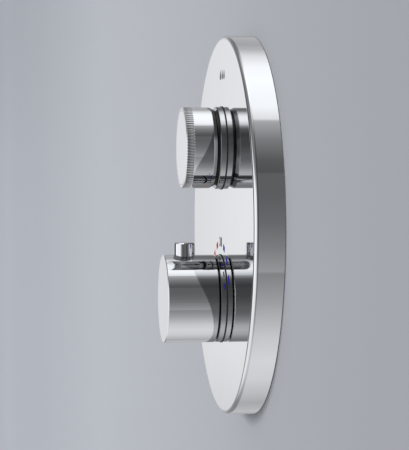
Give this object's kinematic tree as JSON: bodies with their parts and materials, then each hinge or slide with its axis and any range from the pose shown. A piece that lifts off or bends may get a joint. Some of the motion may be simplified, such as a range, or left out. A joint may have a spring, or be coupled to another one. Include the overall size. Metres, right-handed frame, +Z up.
{
  "type": "thermostatic shower valve",
  "caption": "Concealed thermostatic shower valve: round escutcheon, knurled flow handle above, temperature handle with safety button below, brass body behind the wall.",
  "frame": {"origin": "centre of the escutcheon's back edge on the finished wall face", "axes": "+Z up, +X to the right seen from the front, +Y into the wall, so the handles stand out towards -Y"},
  "size_m": [0.21, 0.1217, 0.21],
  "materials": {
    "chrome": "mirror chrome plate",
    "satin_face": "bright chrome plate, faintly satin",
    "brass": "cast and machined brass",
    "steel": "bright zinc-plated or stainless steel",
    "dark_steel": "black-oxide steel",
    "copper": "copper alloy",
    "black_plastic": "moulded, matt",
    "pale_plastic": "moulded acetal",
    "red_plastic": "moulded",
    "ceramic": "lapped ceramic",
    "black_rubber": "smooth rubber",
    "grey_foam": "closed-cell foam",
    "red_fibre": "fibre washer"
  },
  "bodies": {
    "valve": {"escutcheon": "chrome", "escutcheon_seal": "grey_foam", "sleeve_washers": "black_rubber", "flow_sleeve": "chrome", "ring_seals": "black_rubber", "flow_base_ring": "chrome", "flow_limit_ring": "black_plastic", "flow_nut": "brass", "flow_housing": "pale_plastic", "flow_orings": "black_rubber", "flow_fixed_disc": "ceramic", "flow_seat_seal": "black_rubber", "temperature_sleeve": "chrome", "temperature_base_ring": "chrome", "temperature_stop_ring": "black_plastic", "thermostat_nut": "brass", "thermostat_housing": "pale_plastic", "thermostat_orings": "black_rubber", "thermostat_filters": "steel", "return_spring": "steel", "valve_body": "brass", "hot_inlet": "brass", "cold_inlet": "brass", "shower_outlet": "brass", "bath_outlet": "brass", "port_seals": "red_fibre", "hot_strainer": "steel", "cold_strainer": "steel", "hot_check_cage": "pale_plastic", "cold_check_cage": "pale_plastic", "hot_check_spring": "steel", "cold_check_spring": "steel", "stop_retainers": "brass", "mounting_bracket": "steel", "bracket_screws": "steel"},
    "temperature_knob": {"temperature_handle": "chrome", "temperature_adapter": "brass", "temperature_grub_screw": "dark_steel", "thermostat_spindle": "brass", "thermostat_spindle_oring": "black_rubber", "thermostat_circlip": "steel", "button_carrier": "pale_plastic", "button_spring": "steel"},
    "button": {"safety_button": "chrome"},
    "regulator": {"thermostat_plunger": "brass", "overload_spring": "steel", "wax_element": "copper", "regulating_slide": "pale_plastic"},
    "flow_knob": {"flow_handle": "chrome", "flow_cap": "satin_face", "flow_adapter": "pale_plastic", "flow_screw": "steel", "flow_spindle": "brass", "flow_spindle_oring": "black_rubber", "flow_circlip": "steel", "flow_turning_disc": "ceramic"},
    "hot_stop": {"hot_stop_plug": "steel"},
    "cold_stop": {"cold_stop_plug": "steel"},
    "hot_check": {"hot_check_poppet": "red_plastic"},
    "cold_check": {"cold_check_poppet": "red_plastic"}
  },
  "joints": [
    {"name": "flow_turn", "type": "hinge", "parent": "valve", "child": "flow_knob", "pos_m": [0, 0, 0.043], "axis": [0, -1, 0], "range_deg": [-90, 90]},
    {"name": "temperature_turn", "type": "hinge", "parent": "valve", "child": "temperature_knob", "pos_m": [0, 0, -0.041], "axis": [0, -1, 0], "range_deg": [-135, 67.5]},
    {"name": "button_press", "type": "slide", "parent": "temperature_knob", "child": "button", "axis": [0, 0, -1], "range_m": [0, 0.0025], "stiffness_N_per_m": 1200, "deforming": ["button_spring"]},
    {"name": "regulator_travel", "type": "slide", "parent": "valve", "child": "regulator", "axis": [0, -1, 0], "range_m": [-0.0012, 0.0006], "deforming": ["return_spring"]},
    {"name": "hot_stop_turn", "type": "hinge", "parent": "valve", "child": "hot_stop", "pos_m": [-0.034, 0, -0.041], "axis": [0, -1, 0], "range_deg": [0, 90]},
    {"name": "cold_stop_turn", "type": "hinge", "parent": "valve", "child": "cold_stop", "pos_m": [0.034, 0, -0.041], "axis": [0, -1, 0], "range_deg": [0, 90]},
    {"name": "hot_check_open", "type": "slide", "parent": "valve", "child": "hot_check", "axis": [1, 0, 0], "range_m": [0, 0.0025], "stiffness_N_per_m": 100, "deforming": ["hot_check_spring"]},
    {"name": "cold_check_open", "type": "slide", "parent": "valve", "child": "cold_check", "axis": [-1, 0, 0], "range_m": [0, 0.0025], "stiffness_N_per_m": 100, "deforming": ["cold_check_spring"]}
  ],
  "couplings": [
    {"joint": "regulator_travel", "follows": "temperature_turn", "m_per_rad": 0.000477}
  ]
}
